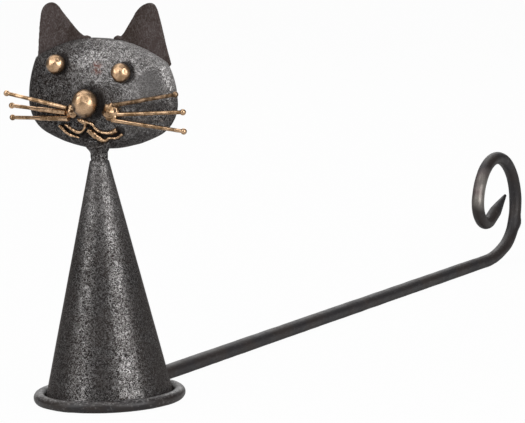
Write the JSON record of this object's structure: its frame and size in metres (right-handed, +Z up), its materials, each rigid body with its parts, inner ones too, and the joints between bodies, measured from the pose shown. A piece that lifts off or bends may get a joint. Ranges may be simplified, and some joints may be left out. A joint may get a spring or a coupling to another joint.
{
  "type": "candle snuffer",
  "caption": "Cat-shaped candle snuffer: a sheet-metal cone bell on a wire rim, a dished cat face with ball eyes and wire whiskers, and a long rod tail with a curled end as the handle.",
  "frame": {"origin": "centre of the bell's mouth, on the surface that the snuffer stands on", "axes": "+Z up along the bell's axis, -Y the way the cat looks, +Y along the tail handle, +X to the right as seen from the front"},
  "size_m": [0.0518, 0.2849, 0.1014],
  "materials": {
    "rubbed_black": "black wash over steel, rubbed back to grey in fine scratches",
    "rim_black": "black over steel wire, worn bright along its crest",
    "ear_black": "matt brown-black over sheet steel",
    "brass": "dull, with a dark patina in its hollows",
    "tail_black": "satin black over round steel bar"
  },
  "bodies": {
    "root": {"cone_shell": "rubbed_black", "rim_ring": "rim_black", "neck_stub": "rubbed_black", "face_dome": "rubbed_black", "left_ear": "ear_black", "right_ear": "ear_black", "left_eye": "brass", "right_eye": "brass", "nose": "brass", "left_whisker_boss": "brass", "right_whisker_boss": "brass", "left_whisker_upper": "brass", "left_whisker_middle": "brass", "left_whisker_lower": "brass", "right_whisker_upper": "brass", "right_whisker_middle": "brass", "right_whisker_lower": "brass", "upper_lip": "brass", "lower_left_lip": "brass", "lower_right_lip": "brass", "tail_handle": "tail_black"}
  },
  "joints": []
}
